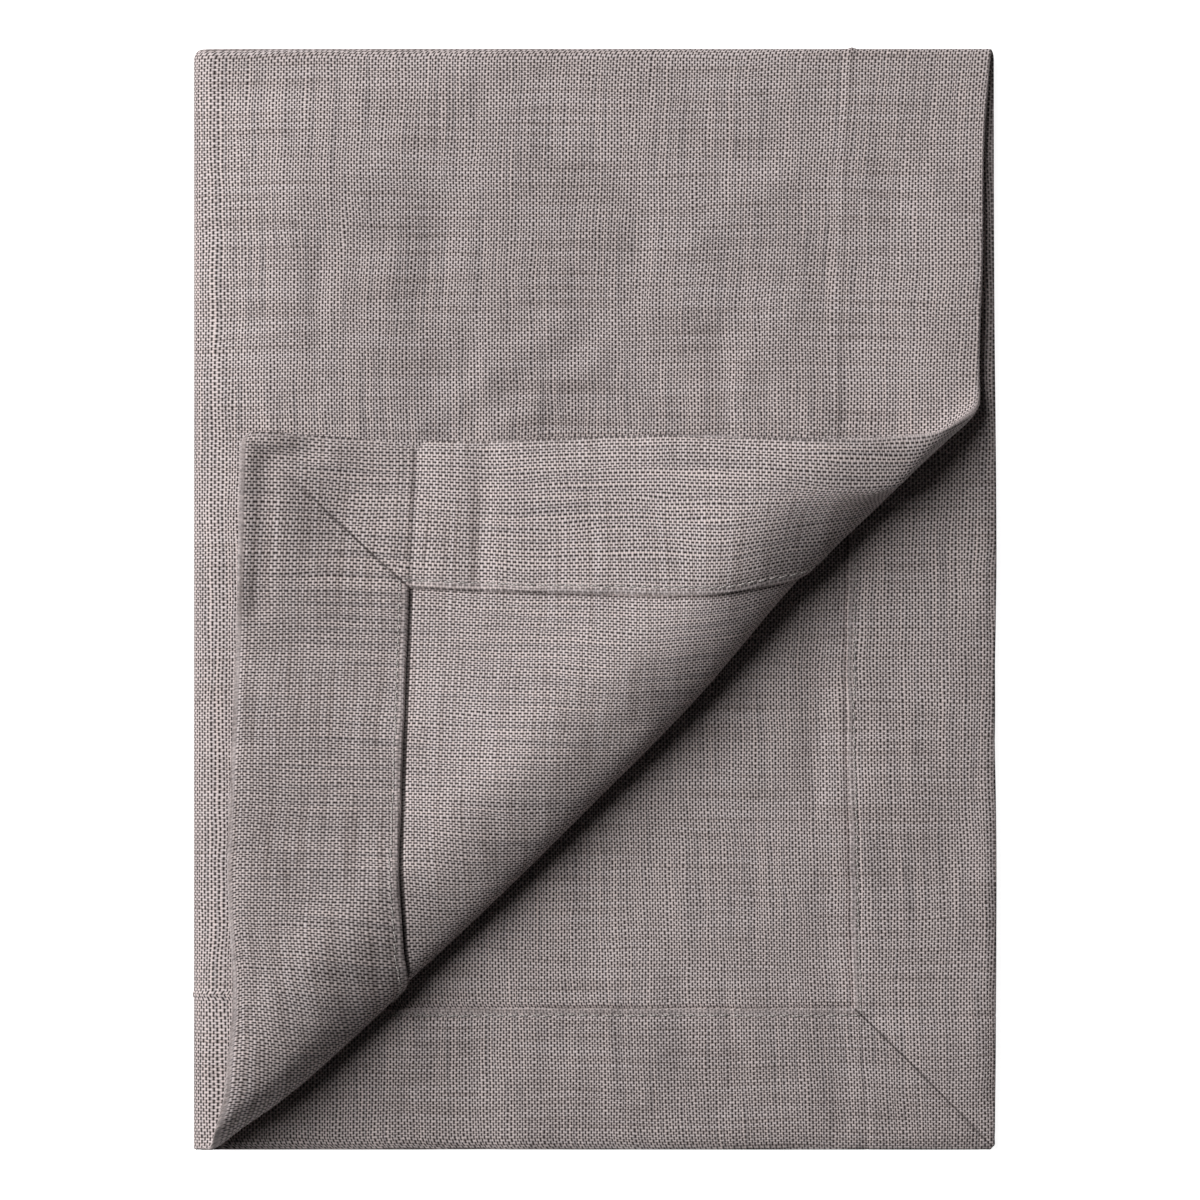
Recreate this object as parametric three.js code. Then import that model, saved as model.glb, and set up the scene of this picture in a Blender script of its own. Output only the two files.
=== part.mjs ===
// Linen placemat with a wide mitred hem, folded in quarters, the free corner of its top layer peeled back.
// Millimetres. +X runs from the side fold to the free side edges, +Y to the cross fold, +Z up.
// The origin is under the middle of the folded cloth, on the surface that it rests on.
import * as THREE from "three";

// Folded size
const foldedWidth = 175;
const foldedLength = 240;

// Cloth as cut and hemmed, laid flat: u across from the side fold, v along from the cross fold
const clothWidth = 350;
const clothLength = 480;
const hemWidth = 30.5;
const hemStep = 0.8; // run of the hem's inner edge, from one thickness to the other

// Thickness
const ply = 1.0; // cloth
const turning = 0.5; // what the turned hem adds on the wrong side
const air = 0.3; // between layers that touch

// How far each fold reaches in from its edge, and the half length of cloth that it takes
const crossFold = { reach: 2.4, cloth: 3.0, steps: 3 };
const sideFold = { reach: 7.0, cloth: 8.2, steps: 4 };

// Levels of the stack: two plies with their turned hems facing each other, folded over once more
const pairDepth = 2 * ply + 2 * turning + air;
const foldRadius = pairDepth + air / 2;
const stackHeight = 2 * foldRadius;

// Free side edge of each layer: how far it stops short of the folded width, at distances from the cross fold
const sideEdges = {
  first: [
    { at: 0, short: 0.8 },
    { at: 22, short: 2.2 },
    { at: 45, short: 2.4 },
    { at: 70, short: 3.0 },
    { at: 110, short: 2.4 },
    { at: 240, short: 2.2 },
  ],
  second: [
    { at: 0, short: 0.6 },
    { at: 50, short: 0.5 },
    { at: 110, short: 0.0 },
    { at: 145, short: 0.4 },
    { at: 175, short: 0.0 },
    { at: 240, short: 0.3 },
  ],
  third: [
    { at: 0, short: 0.9 },
    { at: 90, short: 0.8 },
    { at: 143, short: 0.2 },
    { at: 170, short: 0.7 },
    { at: 205, short: 0.2 },
    { at: 240, short: 0.5 },
  ],
  fourth: [
    { at: 0, short: 1.0 },
    { at: 120, short: 1.5 },
    { at: 240, short: 0.9 },
  ],
};

// Width of the hem along the free side edge, from the end of the upper half to the end of the lower half
const sideHem = [
  { at: -240, wide: 29.0 },
  { at: -190, wide: 31.4 },
  { at: -100, wide: 32.1 },
  { at: 0, wide: 30.0 },
  { at: 60, wide: 29.5 },
  { at: 240, wide: 32.0 },
];
const endHem = { upper: 34.5, lower: 30.6 };

// The peeled corner turns over a line through this point, at this angle to +X
const rollPoint = new THREE.Vector2(0, -43.8);
const rollAngle = 45.7;
const along = new THREE.Vector2(
  Math.cos(THREE.MathUtils.degToRad(rollAngle)),
  Math.sin(THREE.MathUtils.degToRad(rollAngle)),
);
const across = new THREE.Vector2(along.y, -along.x);

// Section of the roll at scale 1, as turns of its tangent in degrees over lengths of cloth
const rollTurns = [
  { turn: 95, from: 0, over: 11 },
  { turn: 50, from: 11, over: 14 },
  { turn: 50, from: 24, over: 18 },
];
const rollLength = 42;
const descentAngle = 15; // of the flap, from the roll's crest down to the layer below
const landingLength = 25;

// The roll along its line: how far its side bows out, its scale, and how far the flap slips across
const rollRows = [
  { at: -119, bow: -7.3, scale: 0.12, slip: 0 },
  { at: -113, bow: -6.9, scale: 0.2, slip: 0 },
  { at: -105, bow: -6.0, scale: 0.34, slip: 0 },
  { at: -95, bow: -4.2, scale: 0.42, slip: -0.8 },
  { at: -85, bow: -3.1, scale: 0.45, slip: -1.4 },
  { at: -63, bow: -1.9, scale: 0.48, slip: -2.0 },
  { at: -31, bow: -0.4, scale: 0.55, slip: -2.4 },
  { at: 0, bow: 0.2, scale: 0.68, slip: -1.4 },
  { at: 31, bow: 0.3, scale: 0.85, slip: 0.2 },
  { at: 66, bow: -2.0, scale: 1.0, slip: 2.2 },
  { at: 92, bow: -1.4, scale: 1.06, slip: 2.4 },
  { at: 104, bow: -1.0, scale: 1.04, slip: 1.4 },
  { at: 111, bow: -0.6, scale: 1.0, slip: 0.6 },
  { at: 118, bow: 0, scale: 0.95, slip: 0 },
];
const flapGive = 0.03; // how much the flap is drawn out on the bias
const flapRise = 0.5; // air that the landed flap keeps over the layer below, with its unevenness
const tipHeld = 6; // width beside the side fold over which the fold still holds the cloth down
const flapCurl = 8.6; // how far the flap's end hem curls up, at its outer edge
const flapOut = 2.5; // how far that edge is drawn out

// Soft swells that lift the layers, as shares of their height
const swells = [
  { share: 0.03, x: 0.041, y: 0.013, shift: 0.8 },
  { share: 0.02, x: -0.018, y: 0.037, shift: 2.1 },
  { share: 0.015, x: 0.083, y: 0.029, shift: 4.0 },
];

// Grid of the flat cloth: cells between the folds, the hem's inner edges and the hem's outer edges
const cells = {
  upper: { across: 11, along: 16, hem: 3 },
  lower: { across: 5, along: 8, hem: 2 },
};
// Extra lines along the roll, as distances across it: near the tight turn, over the crest, down the flap
const rollLines = [
  { from: -8.6, step: 2.1, count: 14 },
  { from: 21.5, step: 3.6, count: 6 },
  { from: 46, step: 13, count: 5 },
];
const snap = 0.2; // a line this near to a corner of a facet goes through it

const clamp = THREE.MathUtils.clamp;
const smooth = (x) => THREE.MathUtils.smoothstep(x, 0, 1);

// Smooth value of one column of a table at a place between its rows
function fromTable(rows, column, place) {
  const at = clamp(place, rows[0].at, rows[rows.length - 1].at);
  let i = 0;
  while (i < rows.length - 2 && at > rows[i + 1].at) i += 1;
  const slope = (j) => {
    const a = rows[Math.max(0, j - 1)];
    const b = rows[Math.min(rows.length - 1, j + 1)];
    return (b[column] - a[column]) / (b.at - a.at);
  };
  const span = rows[i + 1].at - rows[i].at;
  const t = (at - rows[i].at) / span;
  const start = rows[i][column];
  const end = rows[i + 1][column];
  return (
    (2 * t ** 3 - 3 * t ** 2 + 1) * start +
    (t ** 3 - 2 * t ** 2 + t) * span * slope(i) +
    (3 * t ** 2 - 2 * t ** 3) * end +
    (t ** 3 - t ** 2) * span * slope(i + 1)
  );
}

// Section of the peeled corner at scale 1: tangent angle, place and height for each length of cloth
function makeSection() {
  const step = 0.05;
  const tangent = (length, run) => {
    let turned = 0;
    for (const row of rollTurns) turned += row.turn * smooth((length - row.from) / row.over);
    return turned - descentAngle * smooth((length - rollLength - run) / landingLength);
  };
  let crest = 0;
  for (let length = 0; length < rollLength; length += step) {
    crest += step * Math.sin(THREE.MathUtils.degToRad(tangent(length, Infinity)));
  }
  const run = crest / Math.sin(THREE.MathUtils.degToRad(descentAngle)) - landingLength / 2;
  const rows = [];
  let place = 0;
  let height = 0;
  for (let i = 0; i <= 200 / step; i += 1) {
    const angle = THREE.MathUtils.degToRad(tangent(i * step, run));
    rows.push({ angle, place, height });
    place += step * Math.cos(angle);
    height += step * Math.sin(angle);
  }
  return { step, rows, reach: Math.max(...rows.map((row) => row.place)) };
}
const section = makeSection();

function sectionAt(length) {
  const i = clamp(length / section.step, 0, section.rows.length - 2);
  const a = section.rows[Math.floor(i)];
  const b = section.rows[Math.floor(i) + 1];
  const t = i - Math.floor(i);
  return {
    angle: a.angle + t * (b.angle - a.angle),
    place: a.place + t * (b.place - a.place),
    height: a.height + t * (b.height - a.height),
  };
}

// Lifts and rolls back what lies beyond the roll's line, for a point so far under the top layer's face
function peeled(x, y, under, fromEnd) {
  const fromPoint = new THREE.Vector2(x, y).sub(rollPoint);
  const place = fromPoint.dot(along);
  const distance = fromPoint.dot(across);
  const scale = fromTable(rollRows, "scale", place);
  const lift = fromTable(rollRows, "bow", place) - scale * section.reach - ply / 2;
  const held = smooth((x + foldedWidth / 2) / tipHeld);
  const beyond = held * (distance - lift);
  if (beyond <= 0) return new THREE.Vector3(x, y, stackHeight - under);
  const length = beyond / scale;
  const at = sectionAt(length);
  const give = flapGive * Math.max(0, beyond - 0.7 * rollLength * scale);
  const slip = fromTable(rollRows, "slip", place) * smooth((length - 12) / 16);
  const turned = lift + scale * at.place + under * Math.sin(at.angle) - give + slip;
  const rise = flapRise * smooth((length - rollLength) / rollLength);
  const over = smooth((length - 12) / 13);
  const curl = flapCurl * over * clamp(1 - fromEnd / endHem.upper, 0, 1) ** 1.5;
  const out = flapOut * over * smooth(1 - fromEnd / 80) * smooth((place + 100) / 38);
  return new THREE.Vector3(
    rollPoint.x + along.x * place + across.x * turned - out,
    rollPoint.y + along.y * place + across.y * turned,
    stackHeight + scale * at.height - under * Math.cos(at.angle) + rise + curl,
  );
}

// Where a place between a fold and a free edge lies, with the hem at its own width there
function spread(cloth, used, total, start, edge, wide) {
  const inner = total - hemWidth;
  const hemLine = edge - wide;
  if (cloth <= inner) return start + ((cloth - used) / (inner - used)) * (hemLine - start);
  return hemLine + ((cloth - inner) / hemWidth) * wide;
}

// Place in the folded stack of a point so far under the cloth's right side
function folded(u, v, under) {
  // First fold, across the length: the wrong sides come together
  const crossAngle = (Math.PI / 2) * clamp(v / crossFold.cloth, -1, 1);
  const crossRadius = pairDepth / 2 - under;
  const level = pairDepth / 2 + crossRadius * Math.sin(crossAngle);
  const crossStart = crossFold.reach - crossFold.reach * (crossRadius / (pairDepth / 2)) * Math.cos(crossAngle);
  const end = v > 0 ? endHem.upper : endHem.lower;
  let down = crossStart;
  if (Math.abs(v) > crossFold.cloth) {
    down = spread(Math.abs(v), crossFold.cloth, clothLength / 2, crossFold.reach, foldedLength, end);
  }
  // Second fold, along the length: the pair of layers goes round once more
  const radius = air / 2 + level;
  const cloth = sideFold.cloth * (radius / foldRadius);
  const sideAngle = (Math.PI / 2) * clamp(u / cloth, -1, 1);
  let right = sideFold.reach - sideFold.reach * (radius / foldRadius) * Math.cos(sideAngle);
  if (Math.abs(u) > cloth) {
    const outer = u > 0 ? sideEdges.first : sideEdges.fourth;
    const inner = u > 0 ? sideEdges.second : sideEdges.third;
    const blend = (1 + Math.sin(crossAngle)) / 2;
    const short =
      blend * fromTable(outer, "short", down) + (1 - blend) * fromTable(inner, "short", down);
    const wide = fromTable(sideHem, "wide", v);
    right = spread(Math.abs(u), cloth, clothWidth / 2, sideFold.reach, foldedWidth - short, wide);
  }
  const x = right - foldedWidth / 2;
  const y = foldedLength / 2 - down;
  const z = foldRadius + radius * Math.sin(sideAngle);
  const fromEnd = clothLength / 2 - v;
  const point = u > 0 && v > 0 ? peeled(x, y, stackHeight - z, fromEnd) : new THREE.Vector3(x, y, z);
  let swell = 0;
  for (const wave of swells) swell += wave.share * Math.sin(wave.x * point.x + wave.y * point.y + wave.shift);
  point.z *= 1 + swell;
  return point;
}

// Thickness of the cloth at a place: more in the hem, with a short step at its inner edge
function thickness(u, v) {
  const side = (Math.abs(u) - (clothWidth / 2 - hemWidth)) / hemStep;
  const end = (Math.abs(v) - (clothLength / 2 - hemWidth)) / hemStep;
  return ply + turning * clamp(Math.max(side, end), 0, 1);
}

// Lines of the grid in one direction, from the far edge of the lower half to that of the upper half
function gridLines(total, fold, lowerCells, upperCells) {
  const hemLine = total / 2 - hemWidth;
  const half = (field, hem) => {
    const lines = [];
    for (let i = 1; i <= fold.steps; i += 1) lines.push((fold.cloth * i) / fold.steps);
    for (let i = 1; i <= field; i += 1) lines.push(fold.cloth + ((hemLine - fold.cloth) * i) / field);
    lines.push(hemLine + hemStep);
    for (let i = 1; i <= hem; i += 1) lines.push(hemLine + hemStep + ((hemWidth - hemStep) * i) / hem);
    return lines;
  };
  const lower = half(lowerCells, cells.lower.hem).map((line) => -line).reverse();
  return [...lower, 0, ...half(upperCells, cells.upper.hem)];
}

// Flat facets of the cloth, each a convex polygon of places
function clothFacets() {
  const us = gridLines(clothWidth, sideFold, cells.lower.across, cells.upper.across);
  const vs = gridLines(clothLength, crossFold, cells.lower.along, cells.upper.along);
  let facets = [];
  for (let i = 0; i < us.length - 1; i += 1) {
    for (let j = 0; j < vs.length - 1; j += 1) {
      facets.push([
        new THREE.Vector2(us[i], vs[j]),
        new THREE.Vector2(us[i + 1], vs[j]),
        new THREE.Vector2(us[i + 1], vs[j + 1]),
        new THREE.Vector2(us[i], vs[j + 1]),
      ]);
    }
  }
  for (const row of rollLines) {
    for (let i = 0; i < row.count; i += 1) facets = cutFacets(facets, row.from + i * row.step);
  }
  return facets;
}

// Cuts the facets of the top layer along a line at one distance across the roll
function cutFacets(facets, distance) {
  const side = (p) => {
    const x = p.x - foldedWidth / 2;
    const y = foldedLength / 2 - p.y;
    const d = (x - rollPoint.x) * across.x + (y - rollPoint.y) * across.y - distance;
    return Math.abs(d) < snap ? 0 : d;
  };
  const cut = [];
  for (const facet of facets) {
    const inTop = facet.every((p) => p.x >= 0 && p.y >= 0);
    const near = facet.some((p) => side(p) < 0);
    const far = facet.some((p) => side(p) > 0);
    if (!inTop || !near || !far) {
      cut.push(facet);
      continue;
    }
    const nearPart = [];
    const farPart = [];
    facet.forEach((p, i) => {
      const q = facet[(i + 1) % facet.length];
      const a = side(p);
      const b = side(q);
      if (a <= 0) nearPart.push(p);
      if (a >= 0) farPart.push(p);
      if (a * b < 0) {
        const crossing = p.clone().lerp(q, a / (a - b));
        nearPart.push(crossing);
        farPart.push(crossing);
      }
    });
    cut.push(nearPart, farPart);
  }
  return cut;
}

// One closed solid from the flat facets: right side, wrong side and the rim between them
function clothGeometry() {
  const places = [];
  const known = new Map();
  const indexOf = (p) => {
    const key = `${Math.round(p.x * 1000)},${Math.round(p.y * 1000)}`;
    if (!known.has(key)) {
      known.set(key, places.length);
      places.push(p);
    }
    return known.get(key);
  };
  const triangles = [];
  for (const facet of clothFacets()) {
    const corners = facet.map(indexOf);
    if (corners.length === 3) {
      triangles.push(corners);
    } else if (corners.length === 4) {
      const first = facet[0].distanceTo(facet[2]) <= facet[1].distanceTo(facet[3]) ? 0 : 1;
      const [a, b, c, d] = [0, 1, 2, 3].map((i) => corners[(i + first) % 4]);
      triangles.push([a, b, c], [a, c, d]);
    } else {
      const middle = new THREE.Vector2();
      for (const p of facet) middle.addScaledVector(p, 1 / facet.length);
      const centre = indexOf(middle);
      corners.forEach((a, i) => triangles.push([centre, a, corners[(i + 1) % corners.length]]));
    }
  }
  const count = places.length;
  const index = [];
  const open = new Map();
  for (const [a, b, c] of triangles) {
    index.push(a, c, b, a + count, b + count, c + count);
    for (const [p, q] of [[a, b], [b, c], [c, a]]) {
      if (open.has(`${q},${p}`)) open.delete(`${q},${p}`);
      else open.set(`${p},${q}`, [p, q]);
    }
  }
  for (const [p, q] of open.values()) index.push(p, q, q + count, p, q + count, p + count);
  const positions = new Float32Array(2 * count * 3);
  places.forEach((p, i) => {
    folded(p.x, p.y, 0).toArray(positions, 3 * i);
    folded(p.x, p.y, thickness(p.x, p.y)).toArray(positions, 3 * (i + count));
  });
  const geometry = new THREE.BufferGeometry();
  geometry.setAttribute("position", new THREE.BufferAttribute(positions, 3));
  geometry.setIndex(index);
  geometry.computeBoundingBox();
  const middle = geometry.boundingBox.getCenter(new THREE.Vector3());
  geometry.translate(-middle.x, -middle.y, -geometry.boundingBox.min.z);
  geometry.computeVertexNormals();
  return geometry;
}

const linen = new THREE.MeshStandardMaterial({ color: 0x948c8a, roughness: 0.92, metalness: 0 });
const placemat = new THREE.Mesh(clothGeometry(), linen);
placemat.name = "placemat";

const group = new THREE.Group();
group.add(placemat);

export default group;
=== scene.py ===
import math

import bpy
import numpy as np
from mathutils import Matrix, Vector


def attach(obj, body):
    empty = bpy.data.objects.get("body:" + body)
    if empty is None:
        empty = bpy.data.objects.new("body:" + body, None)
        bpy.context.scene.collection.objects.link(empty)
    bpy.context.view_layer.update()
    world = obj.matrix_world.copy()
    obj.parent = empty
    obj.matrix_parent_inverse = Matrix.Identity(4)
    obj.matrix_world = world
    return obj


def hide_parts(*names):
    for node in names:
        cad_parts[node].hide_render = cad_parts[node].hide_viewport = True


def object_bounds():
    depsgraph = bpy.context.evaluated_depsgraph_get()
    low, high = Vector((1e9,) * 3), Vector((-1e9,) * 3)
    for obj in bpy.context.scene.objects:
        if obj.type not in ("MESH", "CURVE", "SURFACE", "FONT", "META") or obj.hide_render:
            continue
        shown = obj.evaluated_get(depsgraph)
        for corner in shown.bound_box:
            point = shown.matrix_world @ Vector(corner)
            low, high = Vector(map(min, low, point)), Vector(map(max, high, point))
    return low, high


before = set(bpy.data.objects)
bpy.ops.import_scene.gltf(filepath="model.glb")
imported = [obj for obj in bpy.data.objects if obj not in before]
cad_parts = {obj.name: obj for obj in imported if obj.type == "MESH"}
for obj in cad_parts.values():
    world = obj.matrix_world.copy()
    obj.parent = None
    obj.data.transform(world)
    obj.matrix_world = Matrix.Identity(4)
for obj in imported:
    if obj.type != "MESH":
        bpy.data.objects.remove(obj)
cadLow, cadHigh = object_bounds()
print("frame loaded")

mm = 0.001
tiny = 0.001  # a length in millimetres that counts as none
wrongShift = 0.5  # the wrong side's UVs lie this far from the right side's, in metres

# The cloth in millimetres, laid flat: u across from the side fold, v along from the cross fold.
# The quarter with u and v above 0 is the top layer, right side up. Then come the layer under it
# (v below 0, wrong side up), the third (both below 0) and the one on the table (u below 0).
cloth = {
    "width": 350,
    "length": 480,
    "hem": 30.5,
    "ply": 0.6,  # thickness of the field
    "hemPly": 1.45,  # thickness of the turned hem
    "edgePly": 0.8,  # thickness at the pressed outer edge of the hem
    "hemStep": 0.1,  # run of the step at the hem's inner edge
    "grooveDepth": 0.32,  # the field dips beside that step
    "grooveWide": 0.7,
    "ridge": 0.26,  # and the right side rises over it
    "ridgeWide": 0.7,
    "seam": 1.5,  # distance of the stitching from that edge, inside the hem
    "seamDepth": 0.16,
    "seamWide": 0.35,
    "mitreDepth": 0.4,
    "mitreWide": 0.32,
    "rimBulge": 0.35,  # roundness of the outer edge, as a share of its thickness
    "rimWide": 1.6,  # width of that round edge
    "cornerRadius": 0.9,  # of the corners, and of the worn one on the flap
    "flapCornerRadius": 2.6,
}

# The folded pack
pack = {
    "width": 175,
    "length": 240,
    "pair": 3.3,  # two layers of one fold with the air between them
    "air": 0.3,
    "crossReach": 2.4,  # depth of the cross fold's turn, and the cloth in half of it
    "crossCloth": 3.0,
    "sideReach": 7.0,  # the same of the side fold, for the outer layer
    "sideCloth": 8.2,
}
pack["radius"] = pack["pair"] + pack["air"] / 2
pack["height"] = 2 * pack["radius"]
pack["shift"] = cadHigh.y / mm - pack["length"] / 2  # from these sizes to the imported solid's frame

# Free side edges: how far each layer stops short of the folded width, at distances from the cross fold
sideEdges = {
    "first": {
        "at": [0, 22, 45, 70, 110, 240],
        "short": [1.3, 2.9, 3.2, 3.9, 3.0, 2.6],
    },
    "second": {
        "at": [0, 50, 110, 145, 175, 240],
        "short": [0.6, 0.5, 0.0, 0.4, 0.0, 0.3],
    },
    "third": {
        "at": [0, 90, 143, 170, 205, 240],
        "short": [0.9, 0.8, 0.2, 0.7, 0.2, 0.5],
    },
    "fourth": {"at": [0, 120, 240], "short": [1.0, 1.5, 0.9]},
}

# Width of the hem along the free side edges, from the end of the upper half to that of the lower half
sideHem = {
    "at": [-240, -190, -100, 0, 60, 85, 112, 130, 142, 155, 180, 240],
    "wide": [29.0, 31.4, 32.1, 30.4, 30.7, 31.2, 34.3, 35.2, 34.8, 33.2, 32.1, 33.0],
}
endHem = {"upper": 33.7, "lower": 30.6}

# The peeled corner: the line that it turns over, and its section at scale 1
roll = {
    "point": (0, -43.8),
    "angle": 45.7,
    "skin": 0.5,  # the outline of the roll stands this far outside the line
    "length": 48,  # cloth in the whole turn
    "descent": 12,  # slope of the flap after it, in degrees
    "landing": 25,  # cloth over which that slope levels out
    "give": 0.03,  # share by which the flap is drawn back, beyond this share of the turn
    "giveFrom": 0.7,
    "rise": 0.5,  # extra height of the flap
    "tipHeld": 6,  # the corner at the side fold stays down over this width
    "slipFrom": 18,  # where the flap's sideways slip begins, and over how much cloth
    "slipOver": 28,
    "overFrom": 12,  # from here, over this much cloth, it counts as turned over
    "overRun": 13,
    "sheet": 200,  # length of cloth that the section covers, and its step
    "step": 0.05,
}
# at the tall end of the roll's line the slip begins sooner and takes less cloth
tallEnd = {"from": 72, "run": 24, "slipSooner": 5, "slipShorter": 16}
rollTurns = [(88, 0, 10), (50, 9, 13), (54, 10, 37)]  # degrees turned, from and over lengths of cloth
rollRows = {
    "at": [-119, -113, -105, -95, -85, -63, -31, 0, 31, 66, 92, 104, 111, 118],
    "bow": [-7.3, -6.9, -6.0, -4.2, -3.1, -1.9, -0.4, 0.2, 0.3, -2.0, -1.4, -1.0, -0.6, 0],
    "scale": [0.12, 0.2, 0.34, 0.45, 0.52, 0.6, 0.63, 0.69, 0.76, 0.9, 0.86, 0.8, 0.75, 0.7],
    "slip": [0, 0.2, 1.2, -0.9, -1.5, -2.1, -1.5, 0.3, 3.4, 5.3, 6.8, 5.2, 3.8, 3.4],
}
# slow waves of the whole pack: share of the height, waves along both axes and phase
swells = [(0.03, 0.041, 0.013, 0.8), (0.02, -0.018, 0.037, 2.1), (0.015, 0.083, 0.029, 4.0)]

# Soft forms of the top layer: how far it swells beside the side fold, how far its free edge lifts,
# and how far the end of the flap curls up. A run is the width of a form, a fade where it ends.
forms = {
    "puff": 1.6,
    "puffRun": 20,
    "puffFade": 70,
    "bulge": 3.4,  # more of it on the upper part
    "bulgeRun": 24,
    "bulgeEnd": 130,
    "bulgeFade": 50,
    "crossFade": 30,  # both grow from nothing at the cross fold
    "edgeLift": 2.0,
    "edgeFrom": 54,
    "edgeRun": 30,
    "edgeFade": 60,
    "curl": 8.6,  # at the edge of the flap's end
    "curlPower": 1.5,
    "rimOut": 2.5,  # how far the flap's end stands out beyond its flat size
    "rimOutFade": 80,
    "rimOutFrom": -88,
    "rimOutRun": 28,
    "rimUp": 0.7,  # and its side edge, twice that near the flap's corner
    "rimUpFade": 34,
    "cornerFrom": 62,
    "cornerRun": 40,
    "hemDip": 0.45,  # trough beside the flap's end hem
    "hemDipIn": 0.4,
    "hemDipWide": 0.6,
    "endDrop": 0.8,  # the second layer sinks towards its end
    "endDropRun": 26,
}

# Creases as seen from above, in millimetres: both ends, half width and height, below 0 for a trough
creases = {
    "upper": [
        (-34.8, 96, -34.8, 38, 7.0, -0.85),
        (-60.0, 77, -60.5, 40, 1.6, -0.31),
        (-27.2, 60, -26.8, 37, 2.2, -0.51),
        (9.9, 84, 9.9, 74, 7.0, -0.68),
        (-38.1, 37, -7.5, 59, 3.6, 0.68),
        (-20.6, 37, 1.2, 52.5, 3.4, 0.68),
        (9.9, 70, 40.5, 91.6, 4.4, 0.51),
        (27.4, 57, 29.0, 37, 2.8, -0.51),
        (64.5, 94, 64.5, 85, 5.0, -0.51),
        (45.0, 66, 33.0, 50, 4.0, 0.42),
    ],
    "flap": [
        (-60.0, -77, -42.0, -60, 7.5, 1.2),
        (-30.0, -48, 4.0, -13, 8.5, 1.4),
        (30.0, 16, 48.0, 33, 9.0, 1.8),
        (-72.8, -2, -71.5, 27.5, 2.6, -1.44),
        (-70.9, 30.6, -61.5, 32.6, 2.6, -1.44),
        (-76.3, -9.9, -42.5, -19.8, 5.5, -1.08),
        (-38.1, 36, -37.8, 4, 2.0, -0.54),
        (-23.9, 36, -24.6, 4, 2.4, -1.44),
        (-35.9, -19.8, -11.9, -19.4, 3.4, 0.54),
        (-4.0, -3, 10.0, -14, 9.0, 0.9),
        (1.2, -24.1, 5.0, -27, 6.0, -1.08),
        (42.7, 26.1, 46.0, 22, 7.0, -0.9),
    ],
    "lower": [
        (48.2, -8.8, 48.0, -40, 3.6, -0.8),
        (47.5, -32.9, 47.6, -34, 2.2, -0.8),
        (48.2, -42.7, 48.3, -43.4, 1.8, -0.96),
        (51.0, -74.4, 54.0, -115.9, 3.6, -0.56),
        (28.5, -87.5, 31.8, -101.7, 0.9, -0.4),
        (-28.3, -100.6, -25.0, -118, 7.0, -0.64),
        (85.1, -8.8, 85.3, -26.3, 3.2, -0.64),
        (79.8, -52, 78.0, -57, 6.0, -0.48),
        (84.2, -111, 85.5, -117, 3.6, -0.8),
    ],
}
mottle = {"upper": 0.16, "flap": 0.2, "lower": 0.14}  # height of the small unevenness
mottleSizes = [(17, 1.0, 3), (8.5, 0.6, 5), (4.6, 1.1, 7)]  # size of its lumps, share of height, seed
noiseCells = 64  # cells of a pattern of lumps, each way
# creases begin this far from each fold and are whole after a run; on the roll they end within this
creaseClear = {"side": (6, 14), "cross": (3, 10), "roll": 6}

# Lines of the cloth's grid from each fold to the free edge
grid = {
    "across": {"fold": 9, "field": 100, "farFold": 7, "farField": 16},
    "along": {"fold": 7, "field": 118, "farFold": 7, "farField": 56},
    "hem": 20,
    "farHem": 6,
    "support": [-1.7, -0.9, -0.4, -0.06],  # beside the step at the hem's inner edge
    "afterStep": 0.5,
    "seam": [-1.3, -0.5, 0, 0.5, 1.3],  # across the row of stitches, in widths of its groove
    "rim": [0.9, 0.35, 0],
}
# The vertices next to the mitre are brought close to it: those this near, but for the ones this
# close to the hem's inner and outer edges and the ones on the mitre
mitrePull = {"near": 1.1, "inner": 0.6, "outer": 0.2, "on": 1e-6}


def smooth(x):
    x = np.clip(x, 0, 1)
    return x * x * (3 - 2 * x)


def fromTable(rows, column, place):
    # smooth value of a column of a table at places between its rows
    at, values = np.array(rows["at"], float), np.array(rows[column], float)
    slope = np.empty_like(values)
    slope[1:-1] = (values[2:] - values[:-2]) / (at[2:] - at[:-2])
    slope[0] = (values[1] - values[0]) / (at[1] - at[0])
    slope[-1] = (values[-1] - values[-2]) / (at[-1] - at[-2])
    place = np.clip(place, at[0], at[-1])
    i = np.clip(np.searchsorted(at, place, side="right") - 1, 0, len(at) - 2)
    span = at[i + 1] - at[i]
    t = (place - at[i]) / span
    return (
        (2 * t**3 - 3 * t**2 + 1) * values[i]
        + (t**3 - 2 * t**2 + t) * span * slope[i]
        + (3 * t**2 - 2 * t**3) * values[i + 1]
        + (t**3 - t**2) * span * slope[i + 1]
    )


def makeSection():
    # the peeled corner's section at scale 1, for each length of cloth
    step = roll["step"]
    lengths = np.arange(0, roll["sheet"], step)
    turned = sum(turn * smooth((lengths - start) / over) for turn, start, over in rollTurns)
    rising = lengths < roll["length"]
    crest = np.sum(np.sin(np.radians(turned[rising]))) * step
    run = crest / math.sin(math.radians(roll["descent"])) - roll["landing"] / 2
    turned -= roll["descent"] * smooth((lengths - roll["length"] - run) / roll["landing"])
    angle = np.radians(turned)
    place = np.concatenate([[0], np.cumsum(np.cos(angle))[:-1]]) * step
    height = np.concatenate([[0], np.cumsum(np.sin(angle))[:-1]]) * step
    return {"length": lengths, "angle": angle, "place": place, "height": height}


section = makeSection()
rollReach = section["place"].max()
rollAlong = np.array([math.cos(math.radians(roll["angle"])), math.sin(math.radians(roll["angle"]))])
rollAcross = np.array([rollAlong[1], -rollAlong[0]])


def turnedOver(length):
    # 0 on the rising side of the roll and 1 on the flap
    return smooth((length - roll["overFrom"]) / roll["overRun"])


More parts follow.
